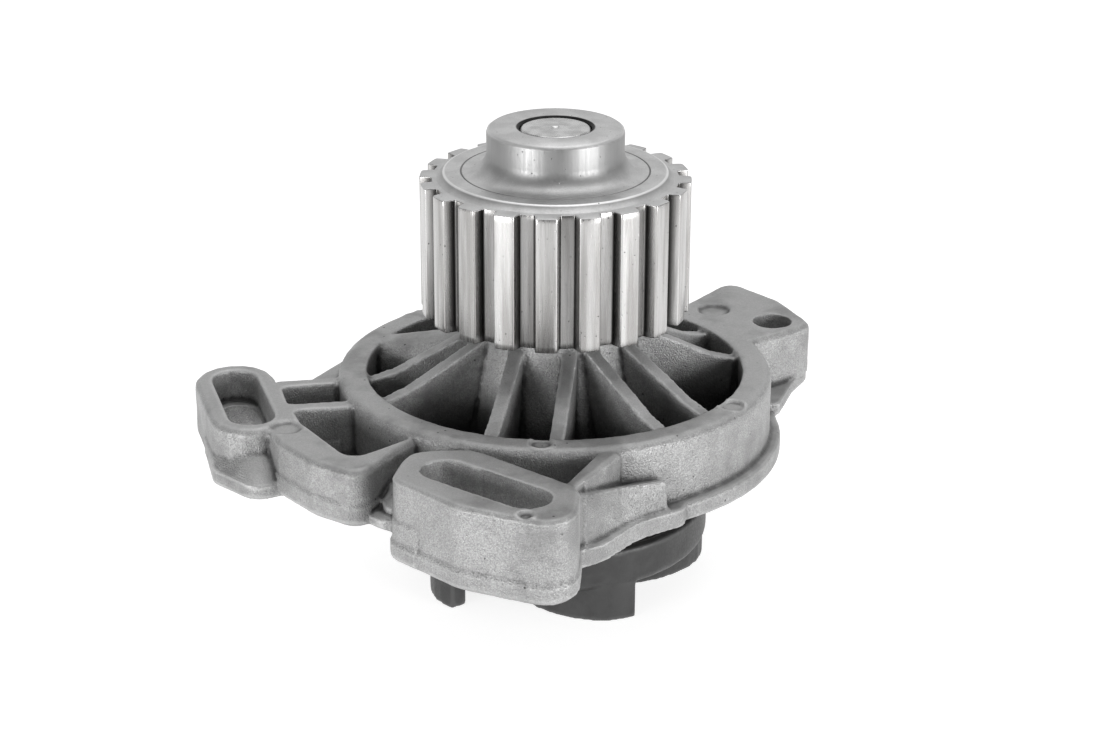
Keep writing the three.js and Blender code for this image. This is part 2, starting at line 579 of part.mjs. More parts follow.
// ---------- sprocket ----------
function toothOutline() {
  const shape = new THREE.Shape();
  const rootRadius = CROWN_RADIUS - GROOVE_DEPTH;
  const crownHalf = 180 / TEETH - Math.asin(GROOVE_TOP_WIDTH / 2 / CROWN_RADIUS) * 180 / Math.PI;
  const rootHalf = 180 / TEETH - Math.asin(GROOVE_BOTTOM_WIDTH / 2 / rootRadius) * 180 / Math.PI;
  for (let tooth = 0; tooth < TEETH; tooth += 1) {
    const middle = FIRST_TOOTH + 360 * tooth / TEETH;
    const corners = [
      [rootRadius, -rootHalf], [CROWN_RADIUS - 0.3, -crownHalf - 0.15], [CROWN_RADIUS, -crownHalf + 0.5],
      [CROWN_RADIUS, crownHalf - 0.5], [CROWN_RADIUS - 0.3, crownHalf + 0.15], [rootRadius, rootHalf],
    ];
    corners.forEach(([radius, offset], i) => {
      const move = tooth === 0 && i === 0 ? 'moveTo' : 'lineTo';
      shape[move](...atAzimuth(radius, middle + offset));
    });
  }
  return shape;
}
function sprocket() {
  const teeth = prismSolid(toothOutline(), SPROCKET_BOTTOM, SPROCKET_TOP);
  const hollow = turnedSolid([
    [0, SPROCKET_BOTTOM - 1], [HOLLOW_RADIUS + 0.6, SPROCKET_BOTTOM - 1],
    [HOLLOW_RADIUS, SPROCKET_BOTTOM + 1], [HOLLOW_RADIUS, HOLLOW_TOP - 2],
    [HOLLOW_RADIUS - 2, HOLLOW_TOP], [0, HOLLOW_TOP],
  ], MEDIUM);
  const bore = SHAFT_RADIUS + GAP;
  const webBottom = HOLLOW_TOP - 0.1;
  const hub = turnedSolid([
    [bore, HUB_BOTTOM], [HUB_RADIUS - 0.8, HUB_BOTTOM], [HUB_RADIUS, HUB_BOTTOM + 0.8],
    [HUB_RADIUS, HOLLOW_TOP - 1.5], [HUB_RADIUS + 2, webBottom], [WEB_RADIUS - 2, webBottom],
    [WEB_RADIUS, 62], [WEB_RADIUS, SPROCKET_TOP], [24.7, WEB_FACE - 0.2], [24.4, WEB_FACE], [19.8, WEB_FACE],
    ...arc(19.6, WEB_FACE + 4.4, 4.4, -100, -176, 4), [HUB_RADIUS, HUB_TOP - 1],
    [HUB_RADIUS - 1, HUB_TOP], [bore + 0.5, HUB_TOP], [bore, HUB_TOP - 0.5],
  ], MEDIUM);
  const seat = WEB_RADIUS - 0.1;
  const core = turnedSolid([[0, 59.3], [seat, 59.3], [seat, WEB_FACE], [0, WEB_FACE]], MEDIUM);
  const ring = cut(teeth, hollow, core);
  return geometryOf(join(ring, hub));
}

// ---------- scene graph ----------
const group = new THREE.Group();
function place(name, geometry, material) {
  const mesh = new THREE.Mesh(geometry, material);
  mesh.name = name;
  group.add(mesh);
  return mesh;
}
place('housing_casting', geometryOf(housing()), CAST_ALUMINIUM);
place('flange_seal_ring', flangeSeal(), BLACK_RUBBER);
place('bearing_outer_ring', outerRing(), BEARING_STEEL);
place('bearing_seal_pulley_side', bearingSeal(BEARING_TOP - 2), BLACK_RUBBER);
place('bearing_seal_water_side', bearingSeal(BEARING_BOTTOM + 0.6), BLACK_RUBBER);
place('shaft', shaft(), BEARING_STEEL);
place('ball_cage', ballCage(), CAGE_PLASTIC);
place('roller_cage', rollerCage(), CAGE_PLASTIC);
for (let i = 0; i < BALL_COUNT; i += 1) {
  const ball = place(`bearing_ball_${i + 1}`, new THREE.SphereGeometry(BALL_RADIUS, 10, 7), BEARING_STEEL);
  ball.position.set(...atAzimuth(BALL_PITCH, 360 * i / BALL_COUNT), BALL_ROW);
}
for (let i = 0; i < ROLLER_COUNT; i += 1) {
  const geometry = new THREE.CylinderGeometry(ROLLER_RADIUS, ROLLER_RADIUS, ROLLER_LENGTH, 12);
  const roller = place(`bearing_roller_${i + 1}`, geometry.rotateX(Math.PI / 2), BEARING_STEEL);
  roller.position.set(...atAzimuth(ROLLER_PITCH, 360 * i / ROLLER_COUNT), ROLLER_ROW);
}
place('drain_slinger', slinger(), BEARING_STEEL);
place('seal_cup', sealCup(), SEAL_METAL);
place('seal_bellows', sealBellows(), BLACK_RUBBER);
place('seal_spring', sealSpring(), BEARING_STEEL);
place('seal_carbon_ring', carbonRing(), CARBON);
place('seal_mating_ring', matingRing(), CERAMIC);
place('mating_ring_seat', matingSeat(), BLACK_RUBBER);
place('impeller', impeller(), DARK_PLASTIC);
place('impeller_insert', impellerInsert(), BEARING_STEEL);
place('timing_sprocket', sprocket(), SINTERED_STEEL);

export default group;
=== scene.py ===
"""Looks of the timing-belt water pump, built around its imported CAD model.

Lengths are written in millimetres and turned into metres by MM. Object coordinates are the row frame:
+Z runs along the shaft to the sprocket, and Z = 0 is the flange face that seals on the engine.
"""
import json
import math

import bmesh
import bpy
import numpy as np
from mathutils import Matrix, Vector

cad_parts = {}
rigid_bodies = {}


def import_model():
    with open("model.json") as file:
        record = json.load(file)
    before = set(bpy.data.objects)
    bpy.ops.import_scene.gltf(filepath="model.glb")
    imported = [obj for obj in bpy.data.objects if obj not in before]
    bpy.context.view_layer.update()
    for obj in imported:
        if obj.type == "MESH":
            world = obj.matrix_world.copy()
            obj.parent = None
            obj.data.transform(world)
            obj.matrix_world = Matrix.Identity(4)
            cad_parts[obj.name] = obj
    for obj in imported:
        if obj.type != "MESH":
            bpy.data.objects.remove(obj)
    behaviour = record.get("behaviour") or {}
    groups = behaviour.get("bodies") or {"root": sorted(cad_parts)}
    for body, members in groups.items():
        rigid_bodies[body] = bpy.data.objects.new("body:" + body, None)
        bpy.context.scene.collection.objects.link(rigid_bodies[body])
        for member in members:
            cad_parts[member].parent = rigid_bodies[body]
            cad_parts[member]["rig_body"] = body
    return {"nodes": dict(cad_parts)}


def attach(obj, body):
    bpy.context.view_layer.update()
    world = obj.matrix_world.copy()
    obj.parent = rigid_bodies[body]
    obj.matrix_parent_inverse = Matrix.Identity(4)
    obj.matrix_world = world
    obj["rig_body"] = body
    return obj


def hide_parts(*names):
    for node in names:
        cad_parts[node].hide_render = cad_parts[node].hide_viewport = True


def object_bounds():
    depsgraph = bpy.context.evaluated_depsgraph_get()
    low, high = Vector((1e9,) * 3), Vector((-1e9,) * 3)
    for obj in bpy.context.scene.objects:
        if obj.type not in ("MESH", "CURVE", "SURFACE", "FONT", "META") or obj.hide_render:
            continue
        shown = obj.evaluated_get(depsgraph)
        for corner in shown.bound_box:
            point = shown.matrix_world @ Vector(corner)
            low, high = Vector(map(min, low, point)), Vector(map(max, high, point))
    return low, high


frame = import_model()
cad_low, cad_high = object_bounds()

MM = 0.001

# ---------- driving dimensions, millimetres ----------
RIM_OUTER = 48.9
RIM_INNER = 42.3
RIM_TOP = 19.0
FLANGE_RADIUS = 51.4
SPIGOT_BAND = (36.0, 41.0)    # radii between which the housing's spigot and its groove lie
BOSS_BAND = (10.0, 30.0)      # the same for the bearing boss
SKIRT_BAND = (32.0, 40.0)     # for the impeller's skirt
IMPELLER_HUB_BAND = (10.0, 20.0)
HOUSING_FACETS = 54           # segments of the CAD housing's large turned faces
BOSS_FACETS = 36              # segments of its boss, of the impeller and of the flange's seal ring
SMALL_FACETS = 24             # segments of the turned pieces inside
TEETH = 20
FIRST_TOOTH = math.radians(-93.53)
CROWN_RADIUS = 29.94
GROOVE_DEPTH = 2.67
ROOT_RADIUS = CROWN_RADIUS - GROOVE_DEPTH
GROOVE_BOTTOM = 3.05          # width of a tooth groove at its floor
GROOVE_TOP = 4.8              # and where it opens
HALF_PITCH = math.pi / TEETH
SPROCKET_BOTTOM = 33.3
SPROCKET_TOP = 63.45
TOOTH_EDGE = 0.22             # rounding of the teeth's top and bottom edges
WEB_FACE = 64.9
WEB_LIP = WEB_FACE - 0.18     # height at which the web's outer edge turns down to the teeth
WEB_LIP_RADIUS = 24.65
FINE_GROOVE_RADIUS = 20.78    # thin turned groove in the web's face
FLARE_RADIUS = 4.6            # hollow fillet between the web and the hub
SHAFT_RADIUS = 7.96
HUB_RADIUS = 15.2
HUB_TOP = 74.8
HUB_BOTTOM = 54.0


# ---------- small tools ----------
def smoothstep(low, high, value):
    t = np.clip((value - low) / (high - low), 0.0, 1.0)
    return t * t * (3.0 - 2.0 * t)


def mesh_object(name, points, faces, smooth_angle=35.0):
    """A mesh piece from points in millimetres, shaded smooth except at edges sharper than the angle."""
    mesh = bpy.data.meshes.new(name)
    mesh.from_pydata([tuple(MM * c for c in p) for p in points], [], faces)
    mesh.validate()
    piece = bpy.data.objects.new(name, mesh)
    bpy.context.scene.collection.objects.link(piece)
    finish_shading(piece, smooth_angle)
    return piece


def finish_shading(piece, smooth_angle=35.0):
    piece.data.polygons.foreach_set("use_smooth", [True] * len(piece.data.polygons))
    piece.data.set_sharp_from_angle(angle=math.radians(smooth_angle))
    piece.data.update()


def stand_for(piece, node, slot):
    """The piece replaces that CAD node, rides on its body and takes its finish from the record's slot."""
    piece.data.materials.clear()
    piece.data.materials.append(MATERIALS[slot])
    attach(piece, frame["nodes"][node]["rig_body"])
    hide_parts(node)
    return piece


def apply_modifiers(piece):
    graph = bpy.context.evaluated_depsgraph_get()
    made = bpy.data.meshes.new_from_object(piece.evaluated_get(graph))
    piece.modifiers.clear()
    old = piece.data
    piece.data = made
    bpy.data.meshes.remove(old)


def read_points(mesh):
    """Vertex places in millimetres."""
    flat = np.empty(len(mesh.vertices) * 3)
    mesh.vertices.foreach_get("co", flat)
    return flat.reshape(-1, 3) / MM


def write_points(mesh, points):
    mesh.vertices.foreach_set("co", (points * MM).ravel())
    mesh.update()


def read_normals(mesh):
    flat = np.empty(len(mesh.vertices) * 3, np.float32)
    mesh.vertex_normals.foreach_get("vector", flat)
    return flat.reshape(-1, 3).astype(float)


def round_out(points, normals, facets, low, high):
    """Moves the flats of turned faces, cut with that many facets, out onto their true circle.

    Only faces between the two radii that look away from the axis or towards it are moved.
    """
    radius = np.hypot(points[:, 0], points[:, 1])
    step = 2.0 * math.pi / facets
    azimuth = np.arctan2(points[:, 1], points[:, 0]) - math.pi / 2
    within = np.mod(azimuth, step) - step / 2
    scale = np.cos(within) / math.cos(step / 2)
    radial = np.abs(points[:, 0] * normals[:, 0] + points[:, 1] * normals[:, 1]) / np.maximum(radius, 1.0)
    weight = smoothstep(0.85, 0.97, radial) * (radius > low) * (radius < high)
    points[:, :2] *= (1.0 + weight * (scale - 1.0))[:, None]


def cast_skin(node, name, voxel, smoothing, turned_bands):
    """A fine copy of a CAD node with every edge and corner filleted, as a casting or moulding has them."""
    piece = bpy.data.objects.new(name, frame["nodes"][node].data.copy())
    bpy.context.scene.collection.objects.link(piece)
    remesh = piece.modifiers.new("voxels", "REMESH")
    remesh.mode = "VOXEL"
    remesh.voxel_size = voxel * MM
    apply_modifiers(piece)
    points, normals = read_points(piece.data), read_normals(piece.data)
    for facets, low, high in turned_bands:
        round_out(points, normals, facets, low, high)
    write_points(piece.data, points)
    smooth = piece.modifiers.new("fillets", "SMOOTH")
    smooth.factor = 0.5
    smooth.iterations = smoothing
    apply_modifiers(piece)
    return piece


def edge_list(mesh):
    pairs = np.empty(len(mesh.edges) * 2, np.int64)
    mesh.edges.foreach_get("vertices", pairs)
    return pairs.reshape(-1, 2)


def neighbour_mean(values, edges):
    """Mean of each vertex's neighbours, for a list of numbers or of points."""
    total = np.zeros_like(values)
    count = np.zeros(len(values))
    for a, b in ((0, 1), (1, 0)):
        np.add.at(total, edges[:, a], values[edges[:, b]])
        np.add.at(count, edges[:, a], 1.0)
    count = np.maximum(count, 1.0)
    return total / (count[:, None] if values.ndim == 2 else count)


def curvature(mesh, spread):
    """How far each vertex stands out of its neighbours (above 0) or lies in a hollow (below 0)."""
    points, normals, edges = read_points(mesh), read_normals(mesh), edge_list(mesh)
    out = ((points - neighbour_mean(points, edges)) * normals).sum(axis=1)
    for _ in range(spread):
        out = 0.4 * out + 0.6 * neighbour_mean(out, edges)
    return out


def store(mesh, name, values):
    mesh.attributes.new(name, "FLOAT", "POINT").data.foreach_set("value", values.astype(np.float32))


# ---------- turned pieces ----------
def section_of(node, facets):
    """Corners [radius, height] of a turned CAD node, cut through the middle of one of its facets."""
    aim = math.pi / 2 + math.pi / facets
    out = Vector((math.cos(aim), math.sin(aim), 0.0))
    across = Vector((-math.sin(aim), math.cos(aim), 0.0))
    mesh = bmesh.new()
    mesh.from_mesh(frame["nodes"][node].data)
    bmesh.ops.remove_doubles(mesh, verts=mesh.verts, dist=1e-6)
    for plane, clear in ((out, True), (across, False)):
        everything = mesh.verts[:] + mesh.edges[:] + mesh.faces[:]
        cut = bmesh.ops.bisect_plane(
            mesh, geom=everything, dist=1e-7, plane_co=(0, 0, 0), plane_no=plane, clear_inner=clear)
    links = {}
    for edge in cut["geom_cut"]:
        if isinstance(edge, bmesh.types.BMEdge):
            ends = [tuple(round(c / MM, 3) for c in (v.co.dot(out), v.co.z)) for v in edge.verts]
            if ends[0] != ends[1]:
                links.setdefault(ends[0], []).append(ends[1])
                links.setdefault(ends[1], []).append(ends[0])
    mesh.free()
    here = min(links, key=lambda p: (len(set(links[p])), p[0], p[1]))
    order = [here]
    while True:
        ahead = [p for p in links[here] if p not in order]
        if not ahead:
            break
        here = ahead[0]
        order.append(here)
    stretch = 1.0 / math.cos(math.pi / facets)
    closed = order[0][0] > 0.01
    kept = []
    for i, point in enumerate(order):
        ends = (i == 0 or i == len(order) - 1) and not closed
        before, after = order[i - 1], order[(i + 1) % len(order)]
        arriving = (point[0] - before[0], point[1] - before[1])
        leaving = (after[0] - point[0], after[1] - point[1])
        bend = arriving[0] * leaving[1] - arriving[1] * leaving[0]
        if ends or abs(bend) > 0.01 * math.hypot(*arriving) * math.hypot(*leaving):
            kept.append((point[0] * stretch, point[1]))
    return kept


def with_round_corners(corners, radius, steps=3, closed=True):
    """The outline with each corner turned into an arc, no larger than its sides leave room for."""
    outline = []
    count = len(corners)
    for i, corner in enumerate(corners):
        here = np.array(corner, float)
        if not closed and i in (0, count - 1):
            outline.append(tuple(here))
            continue
        back = np.array(corners[i - 1], float) - here
        ahead = np.array(corners[(i + 1) % count], float) - here
        back_length, ahead_length = np.linalg.norm(back), np.linalg.norm(ahead)
        back, ahead = back / back_length, ahead / ahead_length
        half = math.acos(float(np.clip(back @ ahead, -1.0, 1.0))) / 2
        if half > math.radians(85):
            outline.append(tuple(here))
            continue
        reach = min(radius / math.tan(half), 0.4 * back_length, 0.4 * ahead_length)
        arc_radius = reach * math.tan(half)
        middle = (back + ahead) / np.linalg.norm(back + ahead)
        centre = here + middle * arc_radius / math.sin(half)
        first, last = here + back * reach - centre, here + ahead * reach - centre
        for k in range(steps + 1):
            blend = first * (1 - k / steps) + last * (k / steps)
            outline.append(tuple(centre + blend * arc_radius / np.linalg.norm(blend)))
    return outline


def ring_mesh(rings, closed=True):
    """Points and faces through rings of points [x, y, z]; a ring of one point is a pole on the axis."""
    points, faces, rows = [], [], []
    width = max(len(ring) for ring in rings)
    for ring in rings:
        start = len(points)
        points.extend(ring)
        rows.append([start] * width if len(ring) == 1 else list(range(start, start + width)))
    for i in range(len(rows) if closed else len(rows) - 1):
        here, ahead = rows[i], rows[(i + 1) % len(rows)]
        for k in range(width):
            j = (k + 1) % width
            corners = [here[k], here[j], ahead[j], ahead[k]]
            corners = [c for n, c in enumerate(corners) if c not in corners[:n]]
            if len(corners) > 2:
                faces.append(corners)
    return points, faces


def circle_ring(radius, height, azimuths):
    if radius < 1e-3:
        return [(0.0, 0.0, height)]
    return [(radius * math.cos(a), radius * math.sin(a), height) for a in azimuths]


def outward(profile):
    """The profile in the direction that makes its faces point out when it is spun."""
    area = sum(a[0] * b[1] - b[0] * a[1] for a, b in zip(profile, profile[1:] + profile[:1]))
    return profile if area > 0 else profile[::-1]


def turned_piece(node, name, slot, facets, rounding=0.25, segments=144):
    corners = outward(section_of(node, facets))
    closed = min(radius for radius, _ in corners) > 0.01
    if not closed:
        start = max(i for i, c in enumerate(corners) if c[0] < 0.01 and corners[i - 1][0] < 0.01)
        corners = corners[start:] + corners[:start]
    profile = with_round_corners(corners, rounding, closed=closed)
    azimuths = [2.0 * math.pi * k / segments for k in range(segments)]
    points, faces = ring_mesh([circle_ring(r, z, azimuths) for r, z in profile], closed)
    return stand_for(mesh_object(name, points, faces, 50.0), node, slot)


# ---------- material building ----------
class Look:
    """A material's node tree, with short calls for the nodes that these looks are made of."""

    def __init__(self, name):
        self.material = bpy.data.materials.new(name)
        self.material.use_nodes = True
        self.tree = self.material.node_tree
        self.surface = self.tree.nodes["Principled BSDF"]
        coordinates = self.tree.nodes.new("ShaderNodeTexCoord")
        self.place = coordinates.outputs["Object"]

    def link(self, source, target):
        self.tree.links.new(source, target)

    def node(self, kind, **settings):
        made = self.tree.nodes.new(kind)
        for key, value in settings.items():
            setattr(made, key, value)
        return made

    def stretched(self, x, y, z):
        """Object coordinates stretched so that a texture is finer along the larger numbers."""
        mapping = self.node("ShaderNodeMapping")
        mapping.inputs["Scale"].default_value = (x, y, z)
        self.link(self.place, mapping.inputs["Vector"])
        return mapping.outputs["Vector"]

    def noise(self, grain, detail=4.0, roughness=0.55, place=None):
        """Cloudy noise with features about that many millimetres across."""
        made = self.node("ShaderNodeTexNoise")
        made.inputs["Scale"].default_value = 1.0 / (grain * MM)
        made.inputs["Detail"].default_value = detail
        made.inputs["Roughness"].default_value = roughness
        self.link(place or self.place, made.inputs["Vector"])
        return made.outputs["Fac"]

    def cells(self, grain):
        """Distance to the nearest of scattered points about that many millimetres apart."""
        made = self.node("ShaderNodeTexVoronoi")
        made.inputs["Scale"].default_value = 1.0 / (grain * MM)
        self.link(self.place, made.inputs["Vector"])
        return made.outputs["Distance"]

    def ramp(self, value, low, high, at_low=0.0, at_high=1.0):
        made = self.node("ShaderNodeMapRange", interpolation_type="SMOOTHSTEP")
        self.link(value, made.inputs["Value"])
        numbers = {"From Min": low, "From Max": high, "To Min": at_low, "To Max": at_high}
        for key, number in numbers.items():
            made.inputs[key].default_value = number
        return made.outputs["Result"]

    def maths(self, operation, a, b=0.0):
        made = self.node("ShaderNodeMath", operation=operation)
        for slot, value in zip(made.inputs, (a, b)):
            if isinstance(value, (int, float)):
                slot.default_value = value
            else:
                self.link(value, slot)
        return made.outputs["Value"]

    def attribute(self, name):
        return self.node("ShaderNodeAttribute", attribute_name=name).outputs["Fac"]

    def normal(self, axis):
        """One part of the outward direction in object space: 0 for X, 1 for Y, 2 for Z."""
        geometry = self.node("ShaderNodeTexCoord")
        parts = self.node("ShaderNodeSeparateXYZ")
        self.link(geometry.outputs["Normal"], parts.inputs["Vector"])
        return parts.outputs[axis]

    def blend(self, amount, first, second):
        """First colour where the amount is 0, second where it is 1."""
        made = self.node("ShaderNodeMix", data_type="RGBA")
        self.link(amount, made.inputs["Factor"])
        for slot, value in (("A", first), ("B", second)):
            target = next(s for s in made.inputs if s.name == slot and s.type == "RGBA")
            if isinstance(value, tuple):
                target.default_value = (*value, 1.0)
            else:
                self.link(value, target)
        return next(s for s in made.outputs if s.type == "RGBA")

    def bump(self, heights):
        """Bumps from a list of (value, height in millimetres)."""
        normal = None
        for value, tall in heights:
            made = self.node("ShaderNodeBump")
            made.inputs["Strength"].default_value = 1.0
            made.inputs["Distance"].default_value = tall * MM
            self.link(value, made.inputs["Height"])
            if normal:
                self.link(normal, made.inputs["Normal"])
            normal = made.outputs["Normal"]
        self.link(normal, self.surface.inputs["Normal"])

    def finish(self, colour, metallic, roughness):
        for name, value in (("Base Color", colour), ("Metallic", metallic), ("Roughness", roughness)):
            if isinstance(value, tuple):
                self.surface.inputs[name].default_value = (*value, 1.0)
            elif isinstance(value, float):
                self.surface.inputs[name].default_value = value
            else:
                self.link(value, self.surface.inputs[name])
        return self.material


def grey(value, warm=0.0):
    return (value * (1 + warm), value, value * (1 - warm))


# ---------- materials ----------
def cast_aluminium():
    """Grainy die casting with painted glints for its sparkle: smoother and painted lighter on top, dark in
    its hollows with painted shade, brighter along its edges with painted highlight and wear.
    """
    look = Look("cast_aluminium")
    upward = look.ramp(look.normal(2), 0.55, 0.95)
    clouds = look.noise(9.0, 5.0)
    mottle = look.noise(1.9, 4.0, 0.65)
    grain = look.noise(0.36, 2.0, 0.75)
    pits = look.cells(0.45)
    sparkle = look.ramp(look.cells(0.42), 0.10, 0.24, 1.0, 0.0)
    tone = look.maths("ADD", look.maths("MULTIPLY", clouds, 0.5), look.maths("MULTIPLY", mottle, 0.5))
    colour = look.blend(look.ramp(tone, 0.36, 0.64), grey(0.36), grey(0.48))
    colour = look.blend(look.ramp(grain, 0.40, 0.62, 0.55, 0.0), colour, grey(0.20))
    # Painted glints: scattered bright specks stand for sparkle off the grain; the same specks are also
    # made less rough.
    colour = look.blend(look.maths("MULTIPLY", sparkle, 0.45), colour, grey(0.85))
    # Painted light: faces that look up are made lighter.
    colour = look.blend(look.maths("MULTIPLY", upward, 0.55), colour, grey(0.50))
    stains = look.ramp(look.noise(17.0, 5.0, 0.6), 0.48, 0.64, 0.0, 0.55)
    stains = look.maths("MULTIPLY", stains, look.ramp(grain, 0.3, 0.6, 0.5, 1.0))
    colour = look.blend(stains, colour, grey(0.17))
    dots = look.ramp(look.cells(2.8), 0.06, 0.12, 1.0, 0.0)
    specks = look.maths("MULTIPLY", dots, look.ramp(look.noise(6.0), 0.50, 0.58))
    colour = look.blend(look.maths("MULTIPLY", specks, 0.85), colour, grey(0.03))
    # Painted shade: darker in the cavity inside the rim and in creases.
    colour = look.blend(look.ramp(look.attribute("hollow"), 0.0, 1.0, 0.0, 0.94), colour, grey(0.035))
    # Painted highlight and wear: lighter along the edges that stand out.
    colour = look.blend(look.ramp(look.attribute("edge"), 0.35, 1.0, 0.0, 0.4), colour, grey(0.66))
    rough = look.ramp(mottle, 0.3, 0.7, 0.44, 0.56)
    rough = look.maths("ADD", rough, look.maths("MULTIPLY", sparkle, -0.15))
    smoothness = look.maths("SUBTRACT", 1.0, look.maths("MULTIPLY", upward, 0.65))
    look.bump([
        (look.maths("MULTIPLY", look.ramp(pits, 0.0, 0.6), smoothness), 0.09),
        (look.maths("MULTIPLY", grain, smoothness), 0.12),
        (mottle, 0.05),
    ])
    return look.finish(colour, 0.55, rough)


def sintered_steel():
    """Polished and streaked on the teeth, fine-turned and matt on the hub and the web, with painted shade
    and painted highlights on both.
    """
    look = Look("sintered_steel")
    turned_part = look.attribute("turned")
    streaks = look.noise(0.5, 3.0, 0.6, look.stretched(1.0, 1.0, 0.03))
    wide = look.noise(2.6, 3.0, 0.55, look.stretched(1.0, 1.0, 0.06))
    pits = look.ramp(look.cells(1.7), 0.05, 0.12, 1.0, 0.0)
    patches = look.ramp(look.noise(4.0, 4.0), 0.45, 0.62)
    teeth = look.blend(look.ramp(wide, 0.36, 0.62), grey(0.37, 0.02), grey(0.56, 0.01))
    teeth = look.blend(look.ramp(streaks, 0.30, 0.50, 0.24, 0.0), teeth, grey(0.26, 0.02))
    # Painted shade in the teeth's grooves, darkest in their corners.
    teeth = look.blend(look.ramp(look.attribute("hollow"), 0.0, 1.0, 0.0, 0.96), teeth, grey(0.03, 0.03))
    fine = look.noise(0.25, 3.0, 0.7)
    cloudy = look.noise(5.0, 4.0, 0.5)
    matt = look.blend(look.ramp(cloudy, 0.35, 0.65), grey(0.56), grey(0.66))
    # Painted shade: hub and web faces that look less upward are darker.
    matt = look.blend(look.ramp(look.normal(2), 0.25, 0.9, 0.85, 0.0), matt, grey(0.27))
    matt = look.blend(look.ramp(fine, 0.35, 0.65, 0.25, 0.0), matt, grey(0.30))
    # Painted highlights along the web's lip and the hub's top edge.
    matt = look.blend(look.attribute("highlight_line"), matt, grey(0.95))
    # Painted shade in the fine groove, the gap round the shaft and the web's outer band.
    matt = look.blend(look.ramp(look.attribute("shade_line"), 0.0, 1.0, 0.0, 0.97), matt, grey(0.02))
    colour = look.blend(turned_part, teeth, matt)
    colour = look.blend(look.maths("MULTIPLY", pits, patches), colour, grey(0.12))
    rough = look.ramp(turned_part, 0.0, 1.0, 0.27, 0.47)
    rough = look.maths("ADD", rough, look.ramp(streaks, 0.3, 0.7, 0.05, -0.05))
    look.bump([(streaks, 0.012), (wide, 0.015), (pits, -0.05), (fine, 0.008)])
    return look.finish(colour, 1.0, rough)


WAVE_FACTOR = 20.0            # Blender's wave texture multiplies its coordinates by this


def turned_steel(name, tint, rough, ring_size):
    """Steel with rings left by turning, 2 pi times ring_size apart, and a little cloudiness."""
    look = Look(name)
    rings = look.node("ShaderNodeTexWave", wave_type="RINGS", rings_direction="Z")
    rings.inputs["Scale"].default_value = 1.0 / (ring_size * MM * WAVE_FACTOR)
    rings.inputs["Distortion"].default_value = 0.6
    look.link(look.place, rings.inputs["Vector"])
    clouds = look.noise(3.0, 4.0)
    scratches = look.noise(0.35, 2.0, 0.6, look.stretched(1.0, 1.0, 0.1))
    colour = look.blend(look.ramp(clouds, 0.35, 0.65), grey(tint * 0.72), grey(tint))
    look.bump([(rings.outputs["Fac"], 0.012), (scratches, 0.01)])
    return look.finish(colour, 1.0, look.ramp(scratches, 0.3, 0.7, rough * 0.75, rough * 1.25))


def moulded_plastic(name, dark, light, rough, gloss_grain=0.5):
    look = Look(name)
    clouds = look.noise(6.0, 4.0)
    fibres = look.noise(gloss_grain, 3.0, 0.6)
    colour = look.blend(look.ramp(clouds, 0.35, 0.65), dark, light)
    # Painted highlight and wear: lighter along the edges that stand out.
    edge_sheen_and_wear = look.ramp(look.attribute("edge"), 0.3, 0.9, 0.0, 0.5)
    colour = look.blend(edge_sheen_and_wear, colour, tuple(min(1.0, 2.6 * c) for c in light))
    look.bump([(fibres, 0.03), (clouds, 0.05)])
    return look.finish(colour, 0.0, look.ramp(fibres, 0.3, 0.7, rough * 0.85, rough * 1.2))


def rubber():
    look = Look("black_rubber")
    bloom = look.ramp(look.noise(2.5, 4.0), 0.45, 0.75)
    colour = look.blend(bloom, grey(0.012), grey(0.04))
    look.bump([(look.noise(0.4, 3.0), 0.03)])
    return look.finish(colour, 0.0, look.ramp(bloom, 0.0, 1.0, 0.5, 0.75))


def pressed_brass():
    look = Look("seal_metal")
    clouds = look.noise(4.0, 4.0)
    colour = look.blend(look.ramp(clouds, 0.3, 0.7), (0.62, 0.50, 0.27), (0.76, 0.64, 0.38))
    look.bump([(look.noise(0.4, 2.0, 0.5, look.stretched(1.0, 1.0, 0.1)), 0.01)])
    return look.finish(colour, 1.0, look.ramp(clouds, 0.3, 0.7, 0.28, 0.42))


MATERIALS = {
    "cast_aluminium": cast_aluminium(),
    "sintered_steel": sintered_steel(),
    "bearing_steel": turned_steel("bearing_steel", 0.66, 0.26, 0.35),
    "seal_metal": pressed_brass(),
    "black_rubber": rubber(),
    "carbon": moulded_plastic("carbon", grey(0.02), grey(0.05), 0.35),
    "ceramic": moulded_plastic("ceramic", (0.62, 0.60, 0.55), (0.72, 0.70, 0.65), 0.25),
    "cage_plastic": moulded_plastic("cage_plastic", (0.50, 0.34, 0.13), (0.60, 0.43, 0.18), 0.5),
    "impeller_plastic": moulded_plastic("impeller_plastic", grey(0.022), grey(0.036), 0.46),
}


# ---------- housing ----------
HOUSING_VOXEL = 0.45          # grain of the remeshed skin, and how often it is smoothed
HOUSING_SMOOTHING = 3
# Ejector pin marks in the faces at RIM_TOP: x, y and radius.
EJECTOR_MARKS = ((-36.0, 34.9, 2.9), (-2.8, -44.6, 2.6), (38.6, -23.6, 2.9), (-5.6, -80.2, 1.7))
MARK_DEPTH = 0.45
MARK_FLASH = 0.25             # height of the ridge round each mark
ARM_PARTING = 9.5             # height of the arm's parting line
ARM_STEP = 0.32               # how far the arm's wall stands out below it
EAR_PARTING = 4.6             # the same for the front ear
EAR_STEP = 0.45
EAR_SETBACK = 0.3             # how far the whole wall of the front ear lies back


def below(height, z):
    """1 under a parting line, 0 over it."""
    return 1.0 - smoothstep(height - 0.2, height + 0.2, z)


